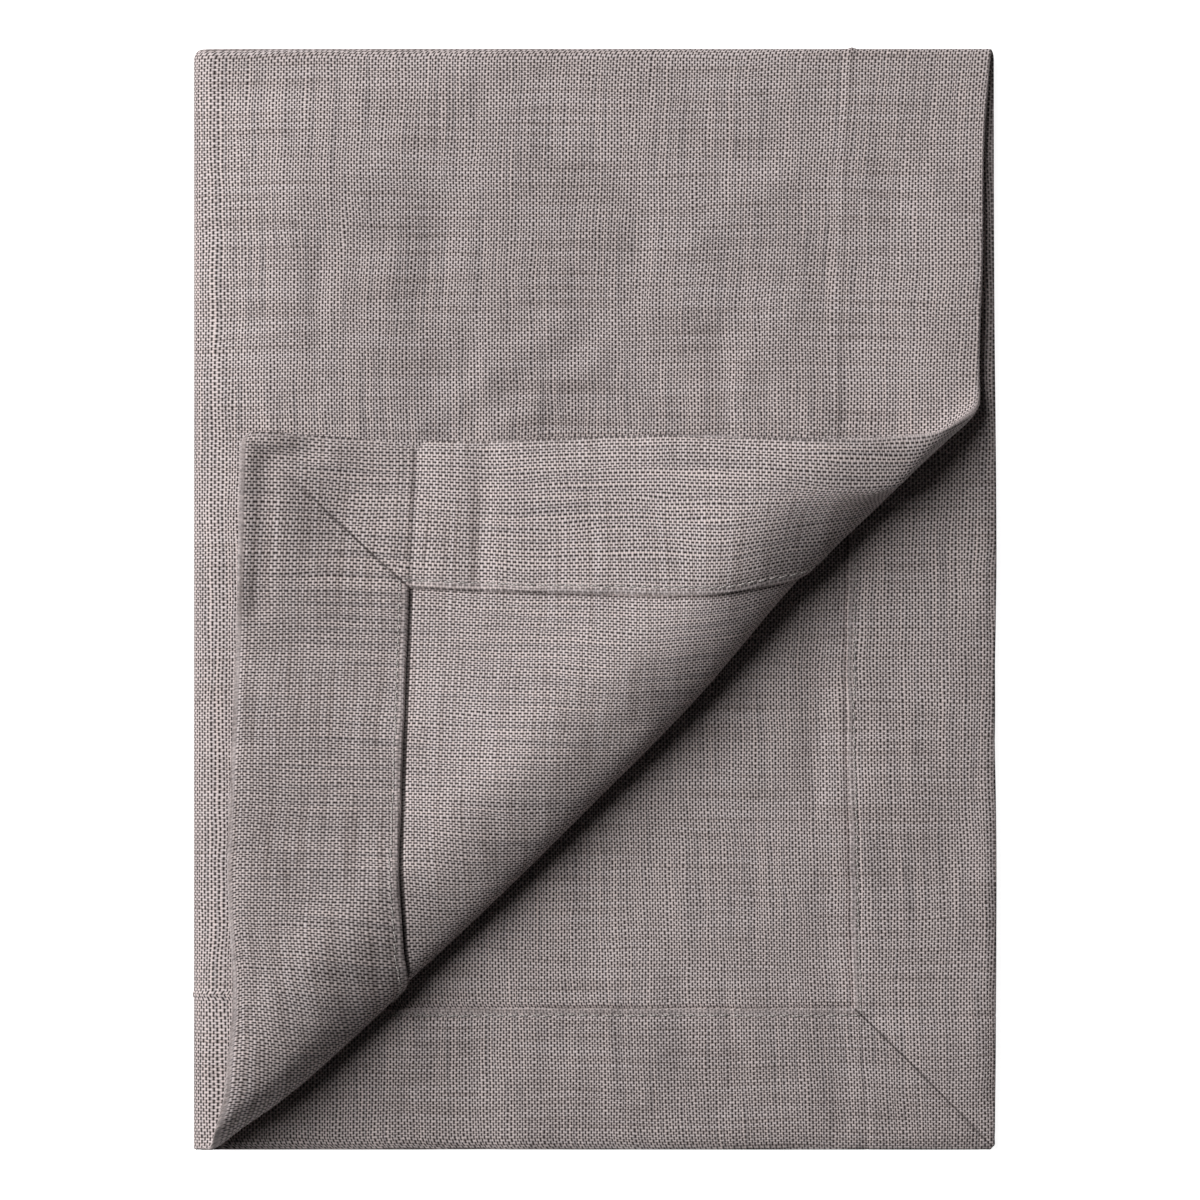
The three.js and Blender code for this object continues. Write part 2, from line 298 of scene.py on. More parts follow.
def rimShift(length, place, fromSide, fromEnd):
    # how far the flap's end stands out to the left, and its side edge upwards
    out = forms["rimOut"] * turnedOver(length) * smooth(1 - fromEnd / forms["rimOutFade"])
    out *= smooth((place - forms["rimOutFrom"]) / forms["rimOutRun"])
    up = forms["rimUp"] * turnedOver(length) * smooth(1 - fromSide / forms["rimUpFade"])
    up *= 1 + smooth((forms["cornerFrom"] - place) / forms["cornerRun"])
    return out, up


def peeled(x, y, under, fromSide, fromEnd):
    # lifts and rolls back what lies beyond the roll's line; also says how far along the section it is
    fromX, fromY = x - roll["point"][0], y - roll["point"][1]
    place = fromX * rollAlong[0] + fromY * rollAlong[1]
    distance = fromX * rollAcross[0] + fromY * rollAcross[1]
    scale = fromTable(rollRows, "scale", place)
    lift = fromTable(rollRows, "bow", place) - scale * rollReach - roll["skin"]
    held = smooth((x + pack["width"] / 2) / roll["tipHeld"])
    beyond = np.maximum(0, held * (distance - lift))
    length = beyond / scale
    angle = np.interp(length, section["length"], section["angle"])
    give = roll["give"] * np.maximum(0, beyond - roll["giveFrom"] * roll["length"] * scale)
    tall = smooth((place - tallEnd["from"]) / tallEnd["run"])
    slipStart = roll["slipFrom"] - tallEnd["slipSooner"] * tall
    slipRun = roll["slipOver"] - tallEnd["slipShorter"] * tall
    slip = fromTable(rollRows, "slip", place) * smooth((length - slipStart) / slipRun)
    turned = (
        lift
        + scale * np.interp(length, section["length"], section["place"])
        + under * np.sin(angle)
        - give
        + slip
    )
    rise = roll["rise"] * smooth((length - roll["length"]) / roll["length"])
    height = scale * np.interp(length, section["length"], section["height"])
    out, up = rimShift(length, place, fromSide, fromEnd)
    on = beyond > 0
    newX = roll["point"][0] + rollAlong[0] * place + rollAcross[0] * turned
    newY = roll["point"][1] + rollAlong[1] * place + rollAcross[1] * turned
    newZ = pack["height"] + height - under * np.cos(angle) + rise
    return (
        np.where(on, newX - out, x),
        np.where(on, newY + up, y),
        np.where(on, newZ, pack["height"] - under),
        np.where(on, length, 0),
    )


def spread(length, used, total, start, edge, wide):
    # place of the cloth between a fold and a free edge, with the hem at its own width there
    inner = total - cloth["hem"]
    hemLine = edge - wide
    return np.where(
        length <= inner,
        start + (length - used) / (inner - used) * (hemLine - start),
        hemLine + (length - inner) / cloth["hem"] * wide,
    )


def softNoise(x, y, size, seed):
    # smooth lumps of one size, between -1 and 1
    lattice = np.random.default_rng(seed).uniform(-1, 1, (noiseCells, noiseCells))
    gridX, gridY = x / size + noiseCells / 2, y / size + noiseCells / 2
    i, j = np.floor(gridX).astype(int), np.floor(gridY).astype(int)
    a, b = smooth(gridX - i), smooth(gridY - j)
    i, j, nextI, nextJ = i % noiseCells, j % noiseCells, (i + 1) % noiseCells, (j + 1) % noiseCells
    low = lattice[i, j] * (1 - a) + lattice[nextI, j] * a
    high = lattice[i, nextJ] * (1 - a) + lattice[nextI, nextJ] * a
    return low * (1 - b) + high * b


def creased(x, y, where):
    # height that the creases and the small unevenness of one visible layer add
    height = np.zeros_like(x)
    for startX, startY, endX, endY, wide, tall in creases[where]:
        runX, runY = endX - startX, endY - startY
        run = runX * runX + runY * runY
        t = np.clip(((x - startX) * runX + (y - startY) * runY) / run, 0, 1)
        away = np.hypot(x - startX - t * runX, y - startY - t * runY)
        height += tall * np.exp(-((away / wide) ** 2))
    for size, share, seed in mottleSizes:
        height += mottle[where] * share * softNoise(x, y, size, seed + len(where))
    return height


def shortOf(layer, down):
    # how far a layer's free side edge stops short, at a distance from the cross fold
    return fromTable(sideEdges[layer], "short", down)


def clothPoint(u, v, under):
    # place in the folded pack, in millimetres, of a point so far under the cloth's right side
    u, v = np.asarray(u, float), np.asarray(v, float)
    u, v, under = np.broadcast_arrays(u, v, np.asarray(under, float))
    # the cross fold
    halfPair = pack["pair"] / 2
    crossAngle = np.pi / 2 * np.clip(v / pack["crossCloth"], -1, 1)
    crossRadius = halfPair - under
    level = halfPair + crossRadius * np.sin(crossAngle)
    turned = pack["crossReach"] * (1 - crossRadius / halfPair * np.cos(crossAngle))
    endWide = np.where(v > 0, endHem["upper"], endHem["lower"])
    straight = spread(
        abs(v), pack["crossCloth"], cloth["length"] / 2, pack["crossReach"], pack["length"], endWide
    )
    down = np.where(abs(v) > pack["crossCloth"], straight, turned)

    # the side fold, round both layers of the first
    radius = pack["air"] / 2 + level
    used = pack["sideCloth"] * radius / pack["radius"]
    sideAngle = np.pi / 2 * np.clip(u / used, -1, 1)
    turned = pack["sideReach"] * (1 - np.sqrt(radius / pack["radius"]) * np.cos(sideAngle))
    blend = (1 + np.sin(crossAngle)) / 2
    outer = np.where(u > 0, shortOf("first", down), shortOf("fourth", down))
    inner = np.where(u > 0, shortOf("second", down), shortOf("third", down))
    freeEdge = pack["width"] - (blend * outer + (1 - blend) * inner)
    wide = fromTable(sideHem, "wide", v)
    straight = spread(abs(u), used, cloth["width"] / 2, pack["sideReach"], freeEdge, wide)
    right = np.where(abs(u) > used, straight, turned)

    # the peeled corner and the unevenness
    x = right - pack["width"] / 2
    y = pack["length"] / 2 - down
    z = pack["radius"] + radius * np.sin(sideAngle)
    top = (u > 0) & (v > 0)
    fromSide, fromEnd = cloth["width"] / 2 - u, cloth["length"] / 2 - v
    topX, topY, topZ, length = peeled(x, y, pack["height"] - z, fromSide, fromEnd)
    x, y, z = np.where(top, topX, x), np.where(top, topY, y), np.where(top, topZ, z)
    swell = sum(share * np.sin(a * x + b * y + shift) for share, a, b, shift in swells)
    z = z * (1 + swell)
    z = z + unevenness(x, y, u, v, length)
    return np.stack([x, y + pack["shift"], z], axis=-1)


def broadForms(x, y, v, flap):
    # height of the soft forms of the top layer
    fromFold = x + pack["width"] / 2
    awayFromCross = smooth(v / forms["crossFade"])
    puff = smooth(fromFold / forms["puffRun"])
    puff *= smooth(1 - (fromFold - forms["puffRun"]) / forms["puffFade"])
    bulge = 1 - (1 - np.clip(fromFold / forms["bulgeRun"], 0, 1)) ** 2
    bulge *= smooth(1 - (fromFold - forms["bulgeRun"]) / forms["puffFade"])
    bulge *= awayFromCross * smooth((forms["bulgeEnd"] - v) / forms["bulgeFade"])
    lift = smooth((x - forms["edgeFrom"]) / forms["edgeRun"])
    lift *= smooth((pack["length"] / 2 - y) / forms["edgeFade"])
    fromEnd = cloth["length"] / 2 - v
    curl = np.clip(1 - fromEnd / endHem["upper"], 0, 1) ** forms["curlPower"] * flap
    broad = forms["puff"] * puff * awayFromCross + forms["bulge"] * bulge
    broad += forms["edgeLift"] * lift + forms["curl"] * curl
    beside = v - (cloth["length"] / 2 - cloth["hem"]) + forms["hemDipIn"]
    return broad - forms["hemDip"] * flap * np.exp(-((beside / forms["hemDipWide"]) ** 2))


def unevenness(x, y, u, v, length):
    # creases fade in away from the folds, and the flap has its own beyond the crest of the roll
    flap = turnedOver(length)
    flat = smooth(1 - length / creaseClear["roll"])
    (sideFrom, sideRun), (crossFrom, crossRun) = creaseClear["side"], creaseClear["cross"]
    clear = smooth((abs(u) - sideFrom) / sideRun) * smooth((abs(v) - crossFrom) / crossRun)
    upper = (creased(x, y, "upper") * flat + creased(x, y, "flap") * flap) * clear
    upper = upper + broadForms(x, y, v, flap)
    lower = creased(x, y, "lower") * clear
    lower -= forms["endDrop"] * smooth(1 - (cloth["length"] / 2 + v) / forms["endDropRun"]) * (u > 0)
    return np.where(v > 0, np.where(u > 0, upper, 0), lower)


def hemOffsets(u, v):
    # how far a place lies inside the hem, from its inner edge on the side and on the end
    return abs(u) - (cloth["width"] / 2 - cloth["hem"]), abs(v) - (cloth["length"] / 2 - cloth["hem"])


def thickness(u, v):
    side, end = hemOffsets(u, v)
    inside = np.maximum(side, end)
    thick = cloth["ply"] + (cloth["hemPly"] - cloth["ply"]) * np.clip(inside / cloth["hemStep"], 0, 1)
    groove = cloth["grooveDepth"] * np.exp(-((inside / cloth["grooveWide"]) ** 2))
    thick -= np.where(inside <= tiny, groove, 0)
    edge = cloth["hem"] - inside
    thick -= (cloth["hemPly"] - cloth["edgePly"]) * smooth(1 - edge / cloth["rimWide"])
    # the stitching draws the hem in, and no stitch runs on beyond the mitre
    seam = np.minimum(abs(side - cloth["seam"]), abs(end - cloth["seam"]))
    seam = np.where(np.minimum(side, end) > cloth["seam"] + cloth["seamWide"], np.inf, seam)
    inHem = inside > cloth["hemStep"]
    thick -= np.where(inHem, cloth["seamDepth"] * np.exp(-((seam / cloth["seamWide"]) ** 2)), 0)
    mitre = (side > 0) & (end > 0)
    apart = abs(side - end) / math.sqrt(2)
    thick -= np.where(mitre, cloth["mitreDepth"] * np.clip(1 - apart / cloth["mitreWide"], 0, 1), 0)
    return thick


def gridLines(total, foldCloth, cells):
    # lines from the far edge of the lower half to the edge of the upper half, 0 at the fold
    hemLine = total / 2 - cloth["hem"]

    def half(foldCells, fieldCells, hemCells):
        lines = list(np.linspace(0, foldCloth, foldCells + 1)[1:])
        lines += list(np.linspace(foldCloth, hemLine + grid["support"][0], fieldCells + 1)[1:])
        lines += [hemLine + offset for offset in grid["support"][1:]]
        seam = [cloth["seam"] + share * cloth["seamWide"] for share in grid["seam"]]
        inner = [0, cloth["hemStep"], grid["afterStep"], *seam]
        lines += [hemLine + offset for offset in inner]
        outer = cloth["hem"] - grid["rim"][0]
        lines += list(hemLine + np.linspace(inner[-1], outer, hemCells + 1)[1:])
        lines += [total / 2 - offset for offset in grid["rim"][1:]]
        return lines

    hemFar = grid["hem"] if cells is grid["along"] else grid["farHem"]
    upper = half(cells["fold"], cells["field"], grid["hem"])
    lower = half(cells["farFold"], cells["farField"], hemFar)
    return np.array([-line for line in reversed(lower)] + [0] + upper)


def pullToMitre(u, v):
    # brings the vertices next to the mitre close to it, so that its groove is narrow
    side, end = hemOffsets(u, v)
    half = (side - end) / 2
    near = (abs(half) > mitrePull["on"]) & (abs(half) < mitrePull["near"])
    near &= (side > mitrePull["inner"]) & (end > mitrePull["inner"])
    outer = cloth["hem"] - mitrePull["outer"]
    near &= (side < outer) & (end < outer)
    wanted = np.sign(half) * cloth["mitreWide"] / math.sqrt(2)
    shift = np.where(near & (u > 0), wanted - half, 0)
    return u + np.sign(u) * shift, v - np.sign(v) * shift


def roundCorners(u, v):
    # turns the square of cloth at each corner into a quarter of a disc
    r = np.where((u > 0) & (v > 0), cloth["flapCornerRadius"], cloth["cornerRadius"])
    a = np.clip(abs(u) - cloth["width"] / 2 + r, 0, r) / r
    b = np.clip(abs(v) - cloth["length"] / 2 + r, 0, r) / r
    roundA, roundB = a * np.sqrt(1 - b * b / 2), b * np.sqrt(1 - a * a / 2)
    return u + np.sign(u) * (roundA - a) * r, v + np.sign(v) * (roundB - b) * r


def newMesh(name, points, faces, uvs):
    data = bpy.data.meshes.new(name)
    data.from_pydata((points * mm).tolist(), [], faces)
    loops = np.empty(len(data.loops), int)
    data.loops.foreach_get("vertex_index", loops)
    layer = data.uv_layers.new(name="cloth")
    layer.data.foreach_set("uv", uvs[loops].astype(np.float32).ravel())
    data.polygons.foreach_set("use_smooth", [True] * len(data.polygons))
    data.validate()
    made = bpy.data.objects.new(name, data)
    bpy.context.scene.collection.objects.link(made)
    return made


def makeCloth():
    us = gridLines(cloth["width"], pack["sideCloth"], grid["across"])
    vs = gridLines(cloth["length"], pack["crossCloth"], grid["along"])
    u, v = pullToMitre(*np.meshgrid(us, vs, indexing="ij"))
    thick = thickness(u, v)
    inside = np.maximum(*hemOffsets(u, v))
    ridge = cloth["ridge"] * np.exp(-((inside / cloth["ridgeWide"]) ** 2))
    roundU, roundV = roundCorners(u, v)
    right = clothPoint(roundU, roundV, -ridge)
    wrong = clothPoint(roundU, roundV, thick)
    rows, columns = u.shape
    count = rows * columns
    index = np.arange(count).reshape(rows, columns)
    a, b, c, d = index[:-1, :-1], index[1:, :-1], index[1:, 1:], index[:-1, 1:]
    rightFaces = np.stack([a, d, c, b], axis=-1).reshape(-1, 4)
    wrongFaces = np.stack([a, b, c, d], axis=-1).reshape(-1, 4) + count

    # the outer edge is round: one more ring between the right side's border and the wrong side's
    border = np.concatenate([index[:-1, 0], index[-1, :-1], index[:0:-1, -1], index[0, :0:-1]])
    inward = np.concatenate([index[:-1, 1], index[-2, :-1], index[:0:-1, -2], index[1, :0:-1]])
    rightFlat, wrongFlat = right.reshape(-1, 3), wrong.reshape(-1, 3)
    outward = rightFlat[border] - rightFlat[inward]
    outward /= np.linalg.norm(outward, axis=1, keepdims=True)
    bulge = cloth["rimBulge"] * thick.reshape(-1)[border][:, None]
    rim = (rightFlat[border] + wrongFlat[border]) / 2 + outward * bulge
    ring = 2 * count + np.arange(len(border))
    nextBorder, nextRing = np.roll(border, -1), np.roll(ring, -1)
    upperRim = np.stack([border, nextBorder, nextRing, ring], axis=-1)
    lowerRim = np.stack([ring, nextRing, nextBorder + count, border + count], axis=-1)

    points = np.concatenate([rightFlat, wrongFlat, rim])
    faces = np.concatenate([rightFaces, wrongFaces, upperRim, lowerRim]).tolist()
    flat = np.stack([u, v], axis=-1).reshape(-1, 2) * mm
    uvs = np.concatenate([flat, flat + wrongShift, flat[border] + wrongShift])
    return newMesh("PlacematCloth", points, faces, uvs)


# The hand stitching round the hem, which shows on the wrong side alone. Its stations run from one
# end of a stitch to the other.
stitching = {
    "pitch": 2.65,
    "length": 2.2,
    "radius": 0.2,
    "slant": 0.12,  # sideways run of a stitch over half its length
    "stations": [-1, -0.82, -0.4, 0.1, 0.6, 0.9, 1],
    "lift": [-0.16, 0.0, 0.14, 0.17, 0.12, -0.02, -0.18],
    "girth": [0.35, 0.8, 1, 1, 0.95, 0.75, 0.3],
    "sides": 6,
    "seed": 21,
    "uneven": 0.14,  # and the shares of it in a stitch's length, its place along and aside
    "inLength": 0.5,
    "along": 0.6,
    "aside": 0.5,
    "probe": 0.2,  # distance to a second point over the first, which says where up is
}


def seamLines():
    # start, direction and length of the four runs of stitching
    side = cloth["width"] / 2 - cloth["hem"] + cloth["seam"]
    end = cloth["length"] / 2 - cloth["hem"] + cloth["seam"]
    return [
        ((side, -end), (0, 1), 2 * end),
        ((side, end), (-1, 0), 2 * side),
        ((-side, end), (0, -1), 2 * end),
        ((-side, -end), (1, 0), 2 * side),
    ]


def unit(vectors):
    return vectors / np.linalg.norm(vectors, axis=-1, keepdims=True)


def stitchPlaces():
    # middle and direction of each stitch, on the flat cloth
    middles, ways = [], []
    for start, way, length in seamLines():
        count = int(length / stitching["pitch"])
        spacing = length / count
        for k in range(count):
            place = (k + 0.5) * spacing
            middles.append((start[0] + way[0] * place, start[1] + way[1] * place))
            ways.append(way)
    return np.array(middles), np.array(ways, float)


def tubeFaces(base, steps, sides):
    # one closed tube of rings of vertices, starting at the vertex base
    faces = []
    for i in range(steps - 1):
        low, high = base + i * sides, base + (i + 1) * sides
        for j in range(sides):
            k = (j + 1) % sides
            faces.append((low + j, low + k, high + k, high + j))
    faces.append(tuple(base + j for j in reversed(range(sides))))
    faces.append(tuple(base + (steps - 1) * sides + j for j in range(sides)))
    return faces


def makeStitches():
    rng = np.random.default_rng(stitching["seed"])
    stations = np.array(stitching["stations"])
    lift = np.array(stitching["lift"])
    girth = (np.array(stitching["girth"]) * stitching["radius"])[None, :, None, None]
    around = np.arange(stitching["sides"]) * 2 * np.pi / stitching["sides"]
    middle, way = stitchPlaces()
    sideways = np.stack([-way[:, 1], way[:, 0]], axis=-1)
    shift = rng.normal(0, stitching["uneven"], (len(middle), 2))
    half = stitching["length"] / 2 * (1 + shift[:, :1] * stitching["inLength"])
    lengthwise = stations[None, :, None] * half[:, None] + shift[:, None, :1] * stitching["along"]
    aside = stations[None, :, None] * stitching["slant"] + shift[:, None, 1:] * stitching["aside"]
    flat = middle[:, None] + way[:, None] * lengthwise + sideways[:, None] * aside
    u, v = flat[..., 0], flat[..., 1]
    under = thickness(u, v) + lift
    centre = clothPoint(u, v, under)
    up = unit(clothPoint(u, v, under + stitching["probe"]) - centre)
    along = unit(np.gradient(centre, axis=1))
    across = unit(np.cross(along, up))
    up = np.cross(across, along)
    rings = (
        centre[:, :, None]
        + across[:, :, None] * np.cos(around)[None, None, :, None] * girth
        + up[:, :, None] * np.sin(around)[None, None, :, None] * girth
    )
    count, steps, sides = rings.shape[:3]
    faces = [face for s in range(count) for face in tubeFaces(s * steps * sides, steps, sides)]
    halfLength = stitching["length"] / 2
    alongUv = np.broadcast_to((stations * halfLength)[None, :, None], rings.shape[:3])
    aroundUv = np.broadcast_to((around * stitching["radius"])[None, None, :], rings.shape[:3])
    uvs = np.stack([alongUv, aroundUv], axis=-1).reshape(-1, 2) * mm
    return newMesh("HemStitches", rings.reshape(-1, 3), faces, uvs)


class Wire:
    # an output socket: sums, products and powers of it add Math nodes
    def __init__(self, finish, output):
        self.finish = finish
        self.output = output

    def math(self, operation, *others):
        return self.finish.node("Math", {"operation": operation}, dict(enumerate([self, *others])))

    def __add__(self, other):
        return self.math("ADD", other)

    def __sub__(self, other):
        return self.math("SUBTRACT", other)

    def __rsub__(self, other):
        return self.finish.node("Math", {"operation": "SUBTRACT"}, {0: other, 1: self})

    def __mul__(self, other):
        return self.math("MULTIPLY", other)

    def __pow__(self, other):
        return self.math("POWER", other)

    __radd__ = __add__
    __rmul__ = __mul__


class Finish:
    def __init__(self, name):
        self.material = bpy.data.materials.new(name)
        self.material.use_nodes = True
        self.tree = self.material.node_tree
        self.tree.nodes.clear()

    def node(self, kind, settings, inputs, output=0):
        made = self.tree.nodes.new("ShaderNode" + kind)
        for key, value in settings.items():
            setattr(made, key, value)
        for key, value in inputs.items():
            if isinstance(value, Wire):
                self.tree.links.new(value.output, made.inputs[key])
            else:
                made.inputs[key].default_value = value
        return Wire(self, made.outputs[output])

    def vector(self, x, y):
        return self.node("CombineXYZ", {}, {0: x, 1: y})

    def noise(self, place, scale, detail=2.0, output=0):
        settings = {"noise_dimensions": "2D"}
        inputs = {"Vector": place, "Scale": scale, "Detail": detail}
        return self.node("TexNoise", settings, inputs, output)

    def step(self, value, low, high):
        # 0 below low and 1 above high, smoothly
        settings = {"interpolation_type": "SMOOTHSTEP"}
        return self.node("MapRange", settings, {0: value, 1: low, 2: high, 3: 0.0, 4: 1.0})

    def mix(self, share, first, second):
        return self.node("Mix", {"data_type": "RGBA"}, {0: share, 6: first, 7: second}, output=2)

    def close(self, inputs):
        shader = self.node("BsdfPrincipled", {}, inputs)
        out = self.tree.nodes.new("ShaderNodeOutputMaterial")
        self.tree.links.new(shader.output, out.inputs["Surface"])


# The linen: thread spacing in millimetres, strength of each part of the weave's pattern against its
# mean of 1, and colours as linear values. A scale is the number of a noise's lumps in a metre.
linen = {
    "warpSpacing": 0.652,
    "weftSpacing": 0.582,
    "crossing": 0.86,  # dark beside every other crossing and light beside the rest: painted shade where a thread slopes away from the light and painted light where it slopes towards it, over real holes
    # threads are lighter in their middle than between them: real gaps, with painted shade in them
    "warpLight": 0.6,
    "weftLight": 0.46,
    "drift": 1.4,  # wandering of the threads, in threads, slow and quick
    "driftScale": 28.0,
    "jitter": 0.55,
    "jitterScales": (420.0, 60.0),  # across the threads and along them
    "threadTone": 0.9,
    "toneScale": 30.0,
    "toneWidth": 0.9,  # lumps of tone in the width of a thread
    "knuckleTone": 0.5,
    "cloudTone": 0.3,
    "cloudScale": 60.0,
    "hue": 0.3,
    "hueSpread": 1.6,
    "pale": (0.76, 0.663, 0.652, 1),
    # near black, for the holes and the painted shade of the weave
    "dark": (0.022, 0.016, 0.015, 1),
    "warm": (1.06, 0.995, 0.94, 1),
    "cool": (0.95, 1.005, 1.06, 1),
    "share": 0.5,  # of the pale colour where the pattern is at its mean
    "roughness": 0.9,
    "gloss": 0.2,
    "bump": 0.0001,  # in metres
    "bumpStrength": 0.4,
}

# How the hem changes that pattern. Each pair is where a mask starts and where it is whole, in
# millimetres from the hem's inner edge, or from its outer one.
hemLook = {
    "innerEdge": ((-0.1, 0.05), (0.7, 1.5)),  # where its smooth strip begins and ends
    "outerEdge": (1.0, 0.5),
    "innerFlat": 0.4,  # the turned edges lose this share of the weave's contrast
    "outerFlat": 0.2,
    "flapFlat": 0.6,  # and the flap's end this much more
    "flapFrom": (0.18, 0.19),  # metres from the cross fold
    "flapTurn": (-1.0, 1.0),  # beyond the mitre
    "mitreLine": (0.1, 0.5),
    "mitreFrom": (-0.2, 0.3),
    "mitreDark": 0.75,
    "mitreFade": (12.0, 26.0),  # the mitre is fainter near the corner, on the flap above all
    "cornerFade": 0.2,
    "flapFade": 0.6,
    "shadeFrom": (-1.0, -0.5),  # painted shade on the field beside the step
    "shadeTo": (-0.12, 0.08),
    "shade": 0.3,
    "flapShade": 0.5,
    "endHemShade": 0.1,  # painted shade: the end hems are darker than the side hems, standing in for the shade of the flap's tilted end
    "endFrom": (0.0, 0.2),
    "endTurn": (-0.1, 0.1),  # beyond the mitre
}


def threadPlaces(finish, place, across, along):
    # number of the thread at a place, both ways; threads wander, slowly in both directions and
    # quickly from one thread to the next; the shifted noises keep warp and weft unlike
    slow = finish.noise(place, linen["driftScale"], output=1)
    quick, calm = linen["jitterScales"]
    warpQuick = finish.noise(finish.vector(across * quick, along * calm), 1.0, 1.0) - 0.5
    weftQuick = finish.noise(finish.vector(across * calm + 9.0, along * quick), 1.0, 1.0) - 0.5
    driftX = (finish.node("SeparateColor", {}, {0: slow}, 0) - 0.5) * (2 * linen["drift"])
    driftY = (finish.node("SeparateColor", {}, {0: slow}, 1) - 0.5) * (2 * linen["drift"])
    x = across * (1 / mm / linen["warpSpacing"]) + driftX + warpQuick * (2 * linen["jitter"])
    y = along * (1 / mm / linen["weftSpacing"]) + driftY + weftQuick * (2 * linen["jitter"])
    return x, y


def threadTones(finish, place, across, along, x, y):
    # tone of each thread, which changes slowly along it, and of each crossing
    scale, width = linen["toneScale"], linen["toneWidth"]
    warpTone = finish.noise(finish.vector(x * width, along * scale), 1.0) - 0.5
    weftTone = finish.noise(finish.vector(across * scale + 40.0, y * width), 1.0) - 0.5
    knuckles = finish.vector((x * 2).math("FLOOR"), (y * 2).math("FLOOR"))
    knuckle = finish.node("TexWhiteNoise", {"noise_dimensions": "2D"}, {"Vector": knuckles}, 0) - 0.5
    cloud = finish.noise(place, linen["cloudScale"], 3.0) - 0.5
    tone = (
        1
        + (warpTone + weftTone) * linen["threadTone"]
        + knuckle * linen["knuckleTone"]
        + cloud * linen["cloudTone"]
    )
    hue = finish.mix(0.5 + (warpTone - weftTone) * linen["hueSpread"], linen["cool"], linen["warm"])
    return tone, hue


def hemMasks(finish, across, along):
    # contrast of the weave, and the share of light that the mitre, the painted shade beside the hem and
    # the painted shade on the end hems leave
    wrong = finish.step(across, wrongShift / 2 - mm, wrongShift / 2 + mm)
    upperHalf = finish.step(along, wrongShift - mm, wrongShift + mm)
    flapFrom, flapWhole = hemLook["flapFrom"]
    fieldWide, fieldLong = cloth["width"] / 2 - cloth["hem"], cloth["length"] / 2 - cloth["hem"]
    acrossHem = (across - wrong * wrongShift).math("ABSOLUTE") * (1 / mm) - fieldWide
    alongHem = (along - wrong * wrongShift).math("ABSOLUTE") * (1 / mm) - fieldLong
    inside, both = acrossHem.math("MAXIMUM", alongHem), acrossHem.math("MINIMUM", alongHem)
    beyondMitre = alongHem - acrossHem
    flapEnd = finish.step(along, wrongShift + flapFrom, wrongShift + flapWhole)
    flapEnd = flapEnd * finish.step(beyondMitre, *hemLook["flapTurn"])

    # the turned edges are smooth
    begins, ends = hemLook["innerEdge"]
    inner = finish.step(inside, *begins) * (1 - finish.step(inside, *ends)) * wrong
    outerStart, outerWhole = hemLook["outerEdge"]
    outer = finish.step(inside, cloth["hem"] - outerStart, cloth["hem"] - outerWhole)
    outerFlat = flapEnd * hemLook["flapFlat"] + hemLook["outerFlat"]
    contrast = 1 - inner * hemLook["innerFlat"] - outer * outerFlat

    # the mitre is a dark seam between two of them
    mitre = 1 - finish.step(beyondMitre.math("ABSOLUTE"), *hemLook["mitreLine"])
    mitre = mitre * finish.step(both, *hemLook["mitreFrom"]) * wrong
    fade = upperHalf * hemLook["flapFade"] + hemLook["cornerFade"]
    mitre = mitre * (1 - finish.step(both, *hemLook["mitreFade"]) * fade)

    # painted shade beside the hem's inner edge, deep where the flap's end hem stands off the field
    shade = finish.step(inside, *hemLook["shadeFrom"]) * (1 - finish.step(inside, *hemLook["shadeTo"]))
    paintedHemShade = shade * wrong * (hemLook["shade"] + flapEnd * hemLook["flapShade"])
    # painted shade on the end hems
    endHems = finish.step(alongHem, *hemLook["endFrom"]) * finish.step(beyondMitre, *hemLook["endTurn"])
    endHems = endHems * wrong
    light = (1 - mitre * hemLook["mitreDark"]) * (1 - paintedHemShade) * (1 - endHems * hemLook["endHemShade"])
    return contrast, light


def finishLinen():
    finish = Finish("WovenLinen")
    place = finish.node("UVMap", {"uv_map": "cloth"}, {})
    across = finish.node("SeparateXYZ", {}, {0: place}, 0)
    along = finish.node("SeparateXYZ", {}, {0: place}, 1)
    x, y = threadPlaces(finish, place, across, along)
    tone, hue = threadTones(finish, place, across, along, x, y)
    contrast, light = hemMasks(finish, across, along)
    # the weave's pattern is painted into the colour: real holes and gaps with painted shade in them,
    # and painted light and shade on the threads' slopes
    crossing = (x * math.pi).math("COSINE") * (y * math.pi).math("COSINE")
    warp = (x * (2 * math.pi)).math("COSINE")
    weft = (y * (2 * math.pi)).math("COSINE")
    pattern = weft * linen["weftLight"] - warp * linen["warpLight"] - crossing * linen["crossing"]
    lightness = (1 + pattern * contrast) * tone * light
    plain = finish.mix(lightness * linen["share"], linen["dark"], linen["pale"])
    settings = {"data_type": "RGBA", "blend_type": "MULTIPLY"}
    colour = finish.node("Mix", settings, {0: linen["hue"], 6: plain, 7: hue}, output=2)
    relief = {"Strength": linen["bumpStrength"], "Distance": linen["bump"], "Height": lightness}
    finish.close(
        {
            "Base Color": colour,
            "Roughness": linen["roughness"],
            "Specular IOR Level": linen["gloss"],
            "Normal": finish.node("Bump", {}, relief),
        }
    )
    return finish.material


# The sewing thread: twists in a metre along it and round it, and colours as linear values
thread = {
    "twist": (9000.0, 5000.0),
    "sharpness": 1.4,
    "dark": (0.26, 0.235, 0.225, 1),
    "pale": (0.62, 0.575, 0.555, 1),
    "roughness": 0.8,
    "gloss": 0.3,
    "bump": 0.00006,  # in metres
    "bumpStrength": 0.4,
}


